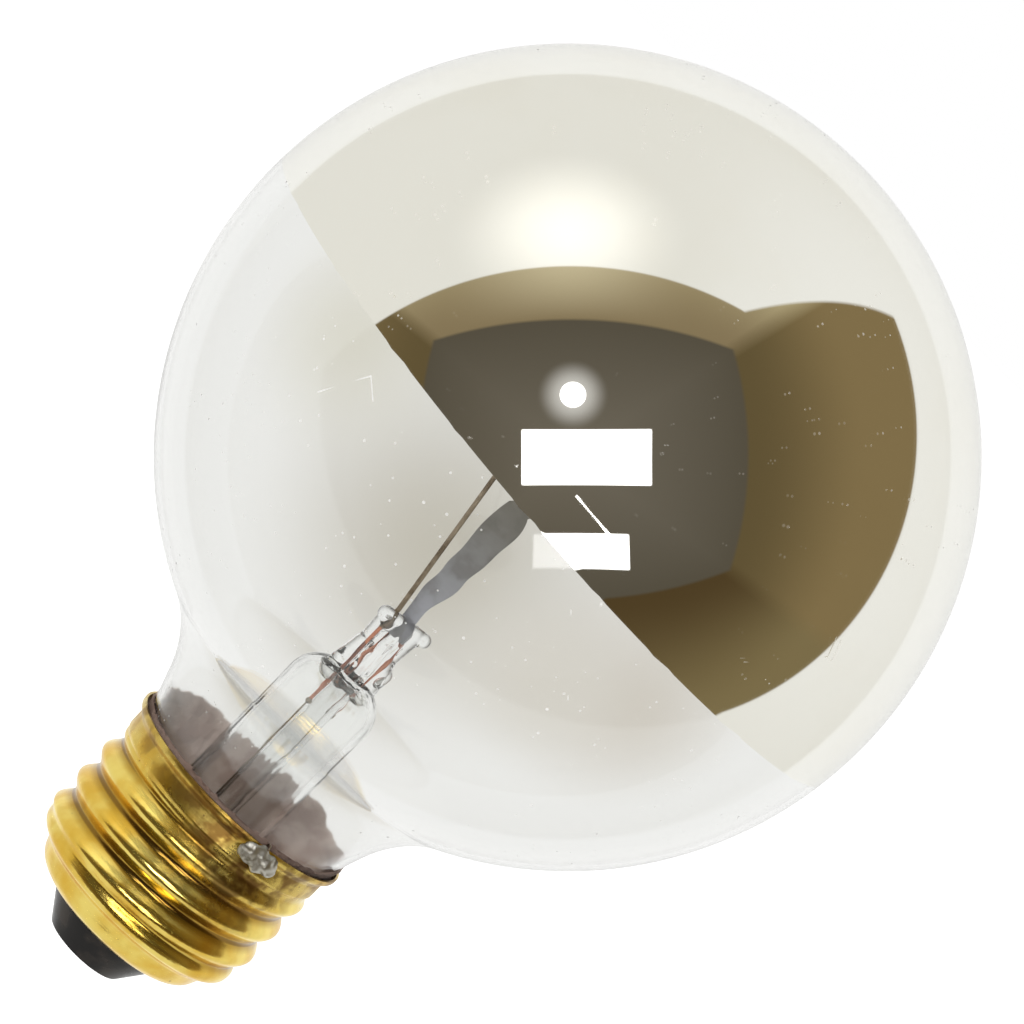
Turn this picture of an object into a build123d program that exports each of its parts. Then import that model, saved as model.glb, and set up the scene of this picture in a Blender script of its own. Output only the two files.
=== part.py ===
from build123d import *
import os
from math import cos, pi, radians, sin, sqrt, tan

# Half-chrome globe bulb with a medium screw base, standing on its centre contact.
# Millimetres. +Z runs up the bulb's axis from the contact to the crown, and the origin is on
# the axis at the lowest point of the contact. The photograph looks along +Y, the crown tipped
# towards it, so -Y is the side that the photograph shows.

# Globe and neck, one blown piece of clear glass
globe_diameter = 82.0
globe_rise = 5.9           # lowest point of the globe's ball above the rim of the base
glass_wall = 0.6
neck_radius_at_rim = 12.55
neck_half_angle = 19.0     # the neck narrows downwards like a cone
neck_blend_radius = 13.0   # hollow curve between ball and neck
seal_radius = 11.2         # outside of the neck where the stem is fused into it
seal_bend_radius = 9.0
seal_depth = 11.6          # lowest edge of the neck below the rim, inside the base

# Mirror coat on the inside of the crown half
coat_thickness = 0.1
coat_edge_tilt = 5.0       # the coat's edge leans down towards +X
coat_edge_drop = 1.5       # and crosses the axis this far under the globe's centre

# Screw base: a rolled brass shell with a 7 to the inch knuckle thread
base_height = 24.0
thread_pitch = 3.629
thread_crest_diameter = 26.0
thread_root_diameter = 24.0
thread_bottom = 8.9
thread_phase = 68.0        # direction of the crest at the bottom of the thread, degrees
thread_circles_per_turn = 12
thread_fade = 1.3          # height over which the thread runs out at each end
skirt_radius = 12.7
skirt_height = 2.3         # plain band above the thread, without the lip
skirt_step = 0.5           # height of the step from the thread to the skirt
lip_height = 1.2
lip_flare_height = 0.7    # the lip leans out over this height and then stands up
lip_radius = 13.4
shell_wall = 0.25
shell_waist_radius = 11.05 # under the thread
shell_waist_height = 7.5
shell_heel_radius = 10.1   # where the shell turns in to hold the insulator
shell_heel_height = 5.75
shell_toe_radius = 7.3
shell_toe_height = 4.35

# Insulator, contact and solder
insulator_tip_radius = 4.6
insulator_tip_height = 0.6
insulator_top_height = 6.9
insulator_bore_radius = 1.5
insulator_dish_radius = 8.6
insulator_web = 2.2
eyelet_radius = 3.3
eyelet_thickness = 0.3
eyelet_wall = 0.3
eyelet_rise = 3.4
contact_solder_radius = 2.5
contact_flat_radius = 1.2
contact_plug_height = 1.1

# Basing cement
cement_depth = 7.0         # below the rim
cement_top_below_rim = 0.5
cement_clearance = 0.1     # to the roots of the thread

# Stem: flared tube, domed top and flattened press
stem_radius = 5.3
stem_wall = 0.8
stem_foot_gap = 0.4        # flare's edge above the neck's lowest edge
stem_rise = 16.1           # top of the dome above the rim
stem_dome_round = 3.6
press_height = 8.0
press_root = 1.6           # the press's glass reaches this far down into the dome
press_turn = 45.0          # the press's wide side leans this far from +X
exhaust_radius = 1.5
exhaust_wall = 0.45
exhaust_tip_drop = 3.8      # melted tip below the neck's lowest edge
exhaust_hole_radius = 0.7
exhaust_hole_tilt = 78.0

# Wires
lead_spread = 1.35         # X and Y of each lead in the press
dumet_radius = 0.22
outer_lead_radius = 0.1
inner_lead_radius = 0.26
wire_lean = 0.149          # X for each millimetre of height, up to the knee
wire_knee_drop = 3.7       # the wire's knee below the globe's centre
wire_upright = 1.2         # straight end of the wire below the filament
weld_knot_radius = 0.36
weld_drop = 4.8            # from the top of the dome to the weld of the copper-coated wire
lead_weld_depth = 2.3      # inner leads start this far down in the press
dumet_bend_drop = 2.0      # the strip's dumet bends inwards this far under its weld
lead_gather_height = 2.6   # the centre lead comes to the axis over this height
lead_bend_drop = 0.9       # the side lead bends this far under the neck's bend
lead_skirt_rise = 1.5      # and runs beside the cone from this far above the thread
lead_end_drop = 1.2        # its end, over the lip, below the rim

# Flat strip that carries the far end of the filament
strip_thickness = 0.25
strip_y = 0.6
strip_arm_width = 0.9
strip_foot_x = 0.8          # where its dumet is welded on
# its wavy outline: height over the press, left edge, right edge
strip_stations = [
    (-2.4, -0.6, 0.9), (0.3, -0.75, 0.9), (1.8, -0.95, 0.8), (3.9, -1.2, 1.3), (5.6, -1.05, 1.6),
    (6.8, -1.2, 1.5), (8.6, -1.15, 1.75), (11.3, -1.4, 1.85), (13.3, -1.4, 2.05), (15.6, -1.1, 1.5)]

# Filament
filament_above_centre = 2.5
filament_half_span = 8.0
filament_coil_radius = 0.6
filament_coil_pitch = 1.05
filament_coil_half = 6.3
filament_wire_radius = 0.15

# Solder at the rim
rim_solder_angle = -63.0
rim_solder_length = 4.2
rim_solder_height = 2.6
rim_solder_thickness = 2.2
rim_solder_drop = 1.25     # centre of the solder below the rim
side_lead_gap = 0.15       # from the neck glass to the middle of the lead that climbs beside it
side_lead_over_rim = 0.45
side_lead_turn_drop = 1.4   # below the neck's lowest edge

# Worked out from the values above
globe_radius = globe_diameter / 2
globe_centre = base_height + globe_rise + globe_radius
thread_radius = (thread_crest_diameter + thread_root_diameter) / 4
thread_depth = (thread_crest_diameter - thread_root_diameter) / 2
thread_top = base_height - lip_height - skirt_height
seal_height = base_height - seal_depth
seal_inner_radius = seal_radius - glass_wall
stem_dome_height = base_height + stem_rise
weld_height = stem_dome_height - weld_drop
exhaust_tip_height = seal_height - exhaust_tip_drop
side_lead_turn_height = seal_height - side_lead_turn_drop
cement_bottom = base_height - cement_depth
press_top = stem_dome_height + press_height
lead_weld_z = press_top - lead_weld_depth
filament_z = globe_centre + filament_above_centre
stem_inner_radius = stem_radius - stem_wall
flare_centre_z = seal_height + stem_foot_gap + seal_inner_radius - stem_inner_radius
press_bottom = stem_dome_height - press_root
shell_mid_radius = thread_radius - shell_wall / 2


def revolved(outline):
    """Turn a half outline, drawn with X as radius and Y as height, about the axis."""
    return revolve(Plane.XZ * outline, axis=Axis.Z)


def rod(points, radius):
    """A round wire through straight stretches with rounded bends."""
    path = Polyline(*points) if len(points) < 3 else FilletPolyline(*points, radius=3 * radius)
    start = Plane(origin=path @ 0, z_dir=path % 0)
    return sweep(start * Circle(radius), path=path, transition=Transition.ROUND)


def neck_radius_at(z, inset=0.0):
    """Radius of the neck's cone at a height, inset square to its surface."""
    slope = radians(neck_half_angle)
    return neck_radius_at_rim + (z - base_height) * tan(slope) - inset / cos(slope)


def bulb_outline(inset):
    """Half section of the blown glass, inset from its outside."""
    slope = tan(radians(neck_half_angle))
    radius = seal_radius - inset
    bend_z = base_height + (radius - neck_radius_at(base_height, inset)) / slope
    top_z = globe_centre
    ball = Pos(0, globe_centre) * Circle(globe_radius - inset)
    half = Pos(0, globe_centre) * Rectangle(globe_diameter, 2 * globe_diameter, align=(Align.MIN, Align.CENTER))
    neck = Polygon(
        (0, seal_height), (radius, seal_height), (radius, bend_z),
        (neck_radius_at(top_z, inset), top_z), (0, top_z), align=None)
    outline = (ball & half) + neck
    bend = outline.vertices().sort_by_distance((radius, bend_z))[0]
    outline = fillet(bend, seal_bend_radius - inset)
    corners = [v for v in outline.vertices() if v.X > seal_radius + 1 and v.Y < globe_centre]
    corner = sorted(corners, key=lambda v: v.Y)[0]
    return fillet(corner, neck_blend_radius + inset)


def glass_envelope():
    return revolved(bulb_outline(0)) - revolved(bulb_outline(glass_wall))


def mirror_coat():
    """Thin lining of the crown half, cut by the leaning plane of its edge."""
    outer = globe_radius - glass_wall
    ball = Sphere(outer) - Sphere(outer - coat_thickness)
    keep = Pos(0, 0, -coat_edge_drop) * Rot(0, coat_edge_tilt, 0) * Box(
        2 * globe_diameter, 2 * globe_diameter, globe_diameter,
        align=(Align.CENTER, Align.CENTER, Align.MIN))
    return Pos(0, 0, globe_centre) * (ball & keep)


def stem_outline():
    """Half section of the flared tube with its domed top."""
    outer_curve = seal_inner_radius - stem_radius
    inner_curve = seal_inner_radius - stem_inner_radius
    ring = Pos(seal_inner_radius, flare_centre_z) * (Circle(inner_curve) - Circle(outer_curve))
    quarter = Pos(seal_inner_radius, flare_centre_z) * Rectangle(
        inner_curve, inner_curve, align=(Align.MAX, Align.MAX))

    def tube(inset):
        radius = stem_radius - inset
        height = stem_dome_height - inset - flare_centre_z
        shape = Pos(0, flare_centre_z) * Rectangle(radius, height, align=(Align.MIN, Align.MIN))
        corner = shape.vertices().sort_by_distance((radius, stem_dome_height - inset))[0]
        return fillet(corner, stem_dome_round - inset)

    return (ring & quarter) + (tube(0) - tube(stem_wall))


def press():
    """Pinched glass: wide root, narrow waist and a thick bar on top, as rounded sections."""
    # share of the height, width, thickness
    stations = [(0.0, 5.8, 4.6), (0.32, 5.3, 3.0), (0.58, 5.1, 2.3), (0.8, 5.7, 2.3),
                (0.94, 6.5, 2.7), (1.0, 6.1, 2.3)]
    height = press_top - press_bottom
    sections = [
        Pos(0, 0, press_bottom + share * height) * RectangleRounded(width, thickness, 0.48 * thickness)
        for share, width, thickness in stations]
    return Rot(0, 0, press_turn) * loft(sections)


def exhaust_passage():
    """Bore over the exhaust tube and the hole blown out through the side of the dome."""
    bore_radius = exhaust_radius - exhaust_wall
    up = Pos(0, 0, press_bottom) * Cylinder(
        bore_radius, 2 * bore_radius, align=(Align.CENTER, Align.CENTER, Align.MIN))
    middle = press_bottom + 2 * bore_radius - exhaust_hole_radius
    out = Pos(0, 0, middle) * Rot(0, 0, press_turn - 90) * Rot(0, exhaust_hole_tilt, 0) * Cylinder(
        exhaust_hole_radius, 2 * stem_radius, align=(Align.CENTER, Align.CENTER, Align.MIN))
    return up + out


def glass_stem(wires):
    stem = revolved(stem_outline()) + press() - exhaust_passage()
    for wire in wires:
        stem -= wire
    return stem


def exhaust_tube():
    """Thin tube hanging from the press, melted shut at its lower end."""
    def tube(radius, bottom):
        shape = Pos(0, bottom) * Rectangle(
            radius, press_bottom - bottom, align=(Align.MIN, Align.MIN))
        corner = shape.vertices().sort_by_distance((radius, bottom))[0]
        return fillet(corner, 0.95 * radius)

    bore = exhaust_radius - exhaust_wall
    return revolved(tube(exhaust_radius, exhaust_tip_height) - tube(bore, exhaust_tip_height + 2 * exhaust_wall))


def dumet_side():
    """Copper-coated wire through the press, on the side of the wire lead."""
    return rod([(-lead_spread, -lead_spread, weld_height), (-lead_spread, -lead_spread, lead_weld_z)], dumet_radius)


def dumet_centre():
    """Copper-coated wire through the press, bent to the foot of the strip."""
    bend_z = lead_weld_z - dumet_bend_drop
    end = (strip_foot_x, strip_y + strip_thickness / 2 + dumet_radius, lead_weld_z)
    start = (lead_spread, lead_spread, weld_height)
    return rod([start, (lead_spread, lead_spread, bend_z), end], dumet_radius)


def inner_lead_wire():
    """Plain wire from the press to the near end of the filament, upright where it holds it."""
    knee_z = globe_centre - wire_knee_drop
    lean = wire_lean * (knee_z - press_top)
    points = [
        (-lead_spread, -lead_spread, lead_weld_z), (-lead_spread, -lead_spread, press_top + inner_lead_radius),
        (-lead_spread - lean, -lead_spread / 2, knee_z),
        (-filament_half_span, 0, filament_z - wire_upright),
        (-filament_half_span, 0, filament_z + 2 * inner_lead_radius)]
    return rod(points, inner_lead_radius)


def inner_lead_strip():
    """Flat strip with wavy edges, drawn in to an arm that leans out to the filament's far end."""
    left = Spline(*[(x, press_top + z) for z, x, _ in strip_stations])
    right = Spline(*[(x, press_top + z) for z, _, x in strip_stations])
    top_left, top_right = left @ 1, right @ 1
    arm_x = filament_half_span
    half = strip_arm_width / 2
    arm = Polyline(
        top_left, (arm_x - half, filament_z - 1.4 * half), (arm_x - half, filament_z + 2 * half),
        (arm_x + half, filament_z + 2 * half), (arm_x + half, filament_z - 1.8 * half), top_right)
    outline = make_face([left, right, Line(left @ 0, right @ 0), *arm.edges()])
    plane = Plane(origin=(0, strip_y + strip_thickness / 2, 0), x_dir=(1, 0, 0), z_dir=(0, -1, 0))
    return extrude(plane * outline, strip_thickness)


def weld_knot(side):
    spread = side * lead_spread
    return Pos(spread, spread, weld_height) * Sphere(weld_knot_radius)


def outer_lead_centre(dumet):
    """Lead from the weld down through the flare and the eyelet into the contact solder."""
    low = exhaust_tip_height - 4 * outer_lead_radius
    points = [
        (lead_spread, lead_spread, weld_height), (lead_spread, lead_spread, low),
        (0, 0, low - lead_gather_height), (0, 0, insulator_tip_height)]
    return rod(points, outer_lead_radius) + weld_knot(1) - dumet


def outer_lead_side(dumet):
    """Lead from the weld down under the stem, up between neck and shell, and over the rim."""
    angle = radians(rim_solder_angle)

    def at(radius, z):
        return (radius * cos(angle), radius * sin(angle), z)

    skirt_z = thread_top + lead_skirt_rise
    beside = seal_radius + 2 * outer_lead_radius
    rim_z = base_height + side_lead_over_rim
    outside = lip_radius + 2 * outer_lead_radius
    bend_z = base_height - (neck_radius_at_rim - seal_radius) / tan(radians(neck_half_angle))
    points = [
        (-lead_spread, -lead_spread, weld_height), (-lead_spread, -lead_spread, side_lead_turn_height),
        at(beside, side_lead_turn_height), at(beside, bend_z - lead_bend_drop),
        at(neck_radius_at(skirt_z) + side_lead_gap, skirt_z),
        at(neck_radius_at(rim_z) + side_lead_gap, rim_z), at(outside, rim_z),
        at(outside, base_height - lead_end_drop)]
    return rod(points, outer_lead_radius) + weld_knot(-1) - dumet


def filament():
    """Coiled tungsten wire with a straight leg to each lead."""
    coil_path = Helix(filament_coil_pitch, 2 * filament_coil_half, filament_coil_radius)
    section = Plane(origin=coil_path @ 0, z_dir=coil_path % 0) * Circle(filament_wire_radius)
    coil = sweep(section, path=coil_path, is_frenet=True)
    lie = Pos(-filament_coil_half, 0, filament_z) * Rot(0, 90, 0)
    ends = [(lie * Pos(coil_path @ share)).position for share in (0, 1)]
    near = (-filament_half_span + inner_lead_radius, 0, filament_z)
    far = (filament_half_span, strip_y - strip_thickness / 2 - filament_wire_radius, filament_z)
    legs = [rod([tuple(end), target], filament_wire_radius) for end, target in zip(ends, (near, far))]
    return lie * coil + legs[0] + legs[1]


def thread_centres():
    """Centres of the level circles that make the thread, one above the other.

    Each circle is off the axis by half the thread's depth, and the next one has turned on, so
    that together they are a knuckle thread. Their throw dies away at both ends, where the
    thread runs out into plain rings.
    """
    length = thread_top - thread_bottom
    steps = round(thread_circles_per_turn * length / thread_pitch)
    centres = []
    for step in range(steps + 1):
        rise = length * step / steps
        fade = min(rise, length - rise, thread_fade) / thread_fade
        throw = thread_depth / 2 * (1 - cos(pi * fade)) / 2
        turn = radians(thread_phase) + 2 * pi * rise / thread_pitch
        centres.append((throw * cos(turn), throw * sin(turn), thread_bottom + rise))
    return centres


def thread_tube():
    """Rolled brass with the thread both outside and inside."""
    centres = thread_centres()

    def skin(radius):
        return loft([Pos(*centre) * Circle(radius) for centre in centres])

    return skin(thread_radius) - skin(thread_radius - shell_wall)


def skirt_line():
    """Middle of the brass from the top of the thread to the out-turned lip."""
    skirt_mid = skirt_radius - shell_wall / 2
    low, high = thread_top + skirt_step, base_height - lip_height
    step = Spline((shell_mid_radius, thread_top), (skirt_mid, low), tangents=((0, 1), (0, 1)))
    lip_mid = lip_radius - shell_wall / 2
    band = FilletPolyline(
        (skirt_mid, low), (skirt_mid, high), (lip_mid, high + lip_flare_height), (lip_mid, base_height),
        radius=2 * shell_wall)
    return [step, band]


def heel_line():
    """Middle of the brass from the bottom of the thread in to the insulator."""
    return [Spline(
        (shell_mid_radius, thread_bottom), (shell_waist_radius, shell_waist_height),
        (shell_heel_radius, shell_heel_height), (shell_toe_radius, shell_toe_height),
        tangents=((0, -1), (-1, -0.3)))]


def wall_along(lines):
    return sum((trace(line, shell_wall) for line in lines[1:]), start=trace(lines[0], shell_wall))


def inside_of(lines):
    """Half section of the room inside a stretch of the shell."""
    start, end = lines[0] @ 0, lines[-1] @ 1
    closing = Polyline((end.X, end.Y), (0, end.Y), (0, start.Y), (start.X, start.Y))
    return make_face([*lines, *closing.edges()]) - wall_along(lines)


def screw_shell():
    return thread_tube() + revolved(wall_along(skirt_line())) + revolved(wall_along(heel_line()))


def base_insulator():
    """Black glass fused into the shell's heel, with a cone outside and a dish inside."""
    room = inside_of(heel_line())
    low = Rectangle(globe_diameter, insulator_top_height, align=(Align.CENTER, Align.MIN))
    cone = Polygon(
        (0, insulator_tip_height), (insulator_tip_radius, insulator_tip_height),
        (shell_toe_radius - shell_wall, shell_toe_height - shell_wall),
        (shell_toe_radius - shell_wall, shell_heel_height), (0, shell_heel_height), align=None)
    dish_z = insulator_tip_height + insulator_web
    dish = Polygon(
        (0, dish_z), (2 * insulator_bore_radius, dish_z), (insulator_dish_radius, insulator_top_height),
        (0, insulator_top_height), align=None)
    bore = Rectangle(insulator_bore_radius, globe_radius, align=(Align.MIN, Align.MIN))
    return revolved((room & low) + (cone - wall_along(heel_line())) - dish - bore)


def contact_eyelet():
    """Brass rivet: a disc under the insulator, a tube through it and a rolled top."""
    bottom = insulator_tip_height - eyelet_thickness
    dish_z = insulator_tip_height + insulator_web
    inner = insulator_bore_radius - eyelet_wall
    disc = Pos(inner, bottom) * Rectangle(eyelet_radius - inner, eyelet_thickness, align=(Align.MIN, Align.MIN))
    edge = disc.vertices().sort_by_distance((eyelet_radius, bottom))[0]
    tube = Pos(inner, bottom) * Rectangle(eyelet_wall, eyelet_rise, align=(Align.MIN, Align.MIN))
    roll = Pos(inner, dish_z) * Rectangle(
        2.5 * eyelet_wall, bottom + eyelet_rise - dish_z, align=(Align.MIN, Align.MIN))
    return revolved(fillet(edge, eyelet_thickness / 2) + tube + roll)


def contact_solder(lead):
    """Solder dome with a worn flat under the eyelet, and the plug in its bore."""
    bottom = insulator_tip_height - eyelet_thickness
    middle = (contact_solder_radius ** 2 + bottom ** 2 - contact_flat_radius ** 2) / (2 * bottom)
    dome = Pos(0, 0, middle) * Sphere(sqrt(middle ** 2 + contact_flat_radius ** 2)) & Box(
        4 * contact_solder_radius, 4 * contact_solder_radius, bottom, align=(Align.CENTER, Align.CENTER, Align.MIN))
    plug = Pos(0, 0, bottom) * Cylinder(
        insulator_bore_radius - eyelet_wall, contact_plug_height, align=(Align.CENTER, Align.CENTER, Align.MIN))
    return dome + plug - lead


def basing_cement(lead):
    """Ring of cement between the neck and the shell, down to the first turns of the thread."""
    top = base_height - cement_top_below_rim
    root = thread_root_diameter / 2 - shell_wall - cement_clearance
    low = Pos(0, cement_bottom) * Rectangle(root, thread_top - cement_bottom, align=(Align.MIN, Align.MIN))
    band = Pos(0, cement_bottom) * Rectangle(2 * root, top - cement_bottom, align=(Align.MIN, Align.MIN))
    outline = (low + inside_of(skirt_line())) & band
    return revolved(outline - bulb_outline(0)) - lead


def rim_solder(lead, envelope):
    """Lump of solder that joins the side lead to the shell over the lip."""
    inside_shell = revolved(inside_of(skirt_line()) + wall_along(skirt_line()))
    block = Box(rim_solder_thickness, rim_solder_length, rim_solder_height)
    lump = Pos(lip_radius, 0, base_height - rim_solder_drop) * fillet(block.edges(), 0.45 * rim_solder_thickness)
    return Rot(0, 0, rim_solder_angle) * lump - [inside_shell, envelope, lead]


def build():
    side_dumet, centre_dumet = dumet_side(), dumet_centre()
    wire, strip = inner_lead_wire(), inner_lead_strip()
    side_lead, centre_lead = outer_lead_side(side_dumet), outer_lead_centre(centre_dumet)
    envelope = glass_envelope()
    return {
        "glass_envelope": envelope,
        "mirror_coat": mirror_coat(),
        "glass_stem": glass_stem([side_dumet, centre_dumet, wire, strip]),
        "exhaust_tube": exhaust_tube(),
        "dumet_side": side_dumet,
        "dumet_centre": centre_dumet - strip,
        "inner_lead_wire": wire,
        "inner_lead_strip": strip,
        "outer_lead_side": side_lead,
        "outer_lead_centre": centre_lead,
        "filament": filament() - wire,
        "basing_cement": basing_cement(side_lead),
        "screw_shell": screw_shell(),
        "base_insulator": base_insulator(),
        "contact_eyelet": contact_eyelet(),
        "contact_solder": contact_solder(centre_lead),
        "rim_solder": rim_solder(side_lead, envelope),
    }


os.makedirs("parts", exist_ok=True)
for name, solid in build().items():
    export_step(solid, f"parts/{name}.step")
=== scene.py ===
import math

import bmesh
import bpy
from mathutils import Matrix, Vector, noise


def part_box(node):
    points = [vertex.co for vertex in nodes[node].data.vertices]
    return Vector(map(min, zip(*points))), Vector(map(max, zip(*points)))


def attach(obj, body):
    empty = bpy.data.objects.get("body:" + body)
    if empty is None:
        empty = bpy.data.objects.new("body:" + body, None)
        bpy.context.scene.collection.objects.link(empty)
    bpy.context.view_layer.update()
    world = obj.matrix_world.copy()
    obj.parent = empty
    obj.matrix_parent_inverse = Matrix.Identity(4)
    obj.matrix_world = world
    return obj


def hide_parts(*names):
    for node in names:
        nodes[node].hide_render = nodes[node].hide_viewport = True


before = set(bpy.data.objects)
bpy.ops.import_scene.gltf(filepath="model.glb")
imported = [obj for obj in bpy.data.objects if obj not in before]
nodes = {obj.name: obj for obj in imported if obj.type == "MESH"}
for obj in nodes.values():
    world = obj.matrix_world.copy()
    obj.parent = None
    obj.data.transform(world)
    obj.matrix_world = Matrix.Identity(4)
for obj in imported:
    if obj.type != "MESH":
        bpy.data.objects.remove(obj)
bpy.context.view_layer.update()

mm = 0.001

# Forms of the bulb. Its ball and its rim are read from the frame, and walls and neck are as
# the frame's solids have them. The unit is the metre, +Z is the bulb's axis from the contact
# to the crown, and the photograph looks along +Y.
envelope_low, envelope_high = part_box("glass_envelope")
globe_radius = (envelope_high.x - envelope_low.x) / 2
globe_centre = Vector((0, 0, envelope_high.z - globe_radius))
rim_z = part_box("screw_shell")[1].z
glass_wall = 0.6 * mm
neck_radius_at_rim = 12.55 * mm
neck_half_angle = math.radians(19)
neck_blend_radius = 13.0 * mm
seal_radius = 11.2 * mm
seal_bend_radius = 9.0 * mm
stem_radius = 5.3 * mm
stem_wall = 0.8 * mm
stem_dome_round = 3.6 * mm
dome_z = rim_z + 16.1 * mm
thread_low = 8.9 * mm
coat_thickness = 0.1 * mm
coat_edge_tilt = math.radians(5)
coat_edge_drop = 1.5 * mm

# How the photograph looks at the bulb
frame_px = 1024
focal_px = 3952
globe_px = Vector((567, 458))
axis_px = Vector((0.7025, -0.7116))
camera_distance = 393.3 * mm
crown_tip = math.radians(6.5)
sensor_width = 36.0


def sight_of(px):
    """The line of sight through a pixel, as the camera sees it: x right, y down, z away."""
    return Vector(((px[0] - frame_px / 2) / focal_px, (px[1] - frame_px / 2) / focal_px, 1))


def camera_axes():
    """The bulb's X, Y and Z and the way to the globe, as the camera sees them."""
    view = sight_of(globe_px).normalized()
    along = Vector((axis_px.x, axis_px.y, 0))
    along = (along - view * along.dot(view)).normalized()
    axis = along * math.cos(crown_tip) - view * math.sin(crown_tip)
    depth = (view - axis * view.dot(axis)).normalized()
    return depth.cross(axis), depth, axis, view


x_seen, y_seen, z_seen, globe_seen = camera_axes()


def from_camera(v):
    """A direction that the camera sees, in the bulb's frame."""
    return Vector((x_seen.dot(v), y_seen.dot(v), z_seen.dot(v)))


def seen_at(px):
    """The direction in which the photograph shows a pixel."""
    return from_camera(sight_of(px).normalized())


studio_right = from_camera(Vector((1, 0, 0)))
studio_up = from_camera(Vector((0, -1, 0)))
studio_back = from_camera(Vector((0, 0, -1)))


def add_camera():
    """A camera that sees the bulb at the size and angle at which the photograph shows it."""
    data = bpy.data.cameras.new("photo_camera")
    data.sensor_width = sensor_width
    data.lens = focal_px / frame_px * sensor_width
    data.clip_start = 0.01
    data.clip_end = 20
    camera = bpy.data.objects.new("photo_camera", data)
    bpy.context.scene.collection.objects.link(camera)
    turn = Matrix((studio_right, studio_up, studio_back)).transposed().to_4x4()
    place = globe_centre - from_camera(globe_seen) * camera_distance
    camera.matrix_world = Matrix.Translation(place) @ turn
    bpy.context.scene.camera = camera


# Short hands for node trees


class Tree:
    """A node tree with few words: each call adds a node and gives one of its outputs."""

    def __init__(self, tree):
        self.tree = tree
        tree.nodes.clear()

    def add(self, kind, values=None, **settings):
        node = self.tree.nodes.new(kind)
        for key, value in settings.items():
            setattr(node, key, value)
        for key, value in (values or {}).items():
            self.feed(node.inputs[key], value)
        return node

    def feed(self, socket, value):
        if isinstance(value, bpy.types.NodeSocket):
            self.tree.links.new(value, socket)
        elif hasattr(value, "__len__") and len(value) == 3 and len(socket.default_value) == 4:
            socket.default_value = (*value, 1)
        else:
            socket.default_value = value

    def math(self, operation, *values, clamp=False):
        node = self.add("ShaderNodeMath", operation=operation, use_clamp=clamp)
        for socket, value in zip(node.inputs, values):
            self.feed(socket, value)
        return node.outputs[0]

    def vector(self, operation, *values):
        node = self.add("ShaderNodeVectorMath", operation=operation)
        for socket, value in zip(node.inputs, values):
            self.feed(socket, value)
        gives_number = operation in ("DOT_PRODUCT", "LENGTH", "DISTANCE")
        return node.outputs["Value" if gives_number else "Vector"]

    def span(self, value, low, high, start=0.0, end=1.0, smooth=False):
        """Where a value lies between low and high, as a share from start to end."""
        node = self.add(
            "ShaderNodeMapRange",
            {"Value": value, "From Min": low, "From Max": high, "To Min": start, "To Max": end},
            interpolation_type="SMOOTHSTEP" if smooth else "LINEAR")
        return node.outputs["Result"]

    def mix(self, factor, first, second, blend="MIX"):
        node = self.add("ShaderNodeMix", data_type="RGBA", blend_type=blend)
        self.feed(node.inputs["Factor"], factor)
        for socket, value in ((node.inputs[6], first), (node.inputs[7], second)):
            self.feed(socket, value)
        return node.outputs[2]

    def along(self, axis, place):
        """One coordinate of a place."""
        return self.add("ShaderNodeSeparateXYZ", {"Vector": place}).outputs[axis]

    def from_axis(self, place):
        """How far a place is from the bulb's axis."""
        return self.vector("LENGTH", self.vector("MULTIPLY", place, (1.0, 1.0, 0.0)))

    def noise(self, place, scale, detail=3.0, roughness=0.5):
        node = self.add(
            "ShaderNodeTexNoise",
            {"Vector": place, "Scale": scale, "Detail": detail, "Roughness": roughness})
        return node.outputs["Fac"]


# Studio: a pale sweep, a darker side towards the camera with two soft boxes, and a small lamp.
# Directions are given as shares along the photograph's right, its up and back to the camera.
sweep_bright = (1.0, 1.0, 0.985)
sweep_pale = (0.85, 0.84, 0.79)
sweep_fold = (-0.665, -0.645)
sweep_glow = (1.3, 1.28, 1.2)
panel_near = (0.17, 0.15, 0.118)
panel_far = (0.10, 0.086, 0.062)
canopy_low = (0.26, 0.20, 0.11)
canopy_high = (0.56, 0.48, 0.28)
canopy_lift = (0.60, 0.52, 0.34)
side_near = (0.13, 0.095, 0.042)
side_far = (0.24, 0.175, 0.08)
foot_near = (0.085, 0.055, 0.022)
foot_far = (0.22, 0.17, 0.08)
panel_top, panel_foot, panel_right, panel_left = 0.75, 0.82, 1.16, 0.88
# soft boxes: centre and half size, to the right and up
soft_boxes = [((0.075, -0.01), (0.295, 0.125)), ((0.05, -0.434), (0.215, 0.072))]
box_light = 7.0
lamp_way = (0.014, 0.278, 0.96)
lamp_light = 14.0
lamp_halo = 0.5
glow_way = (0.0, 0.896, 0.445)
# soft shades behind the clear half: place and reach in pixels, colour
shades = [
    ((430, 560), 280, (0.56, 0.53, 0.46)), ((330, 320), 170, (0.72, 0.70, 0.62)),
    ((640, 735), 190, (0.66, 0.62, 0.56)), ((540, 700), 150, (0.70, 0.67, 0.61))]
seen_through_glass = (0.86, 0.855, 0.84)
seen_through_stem = (0.16, 0.15, 0.13)
between_walls = (0.8, 0.8, 0.8)
# a ray has crossed more surfaces than this when it has met the stem, or the globe's far wall
stem_crossings = 4.5
far_wall_crossings = 3.5


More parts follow.
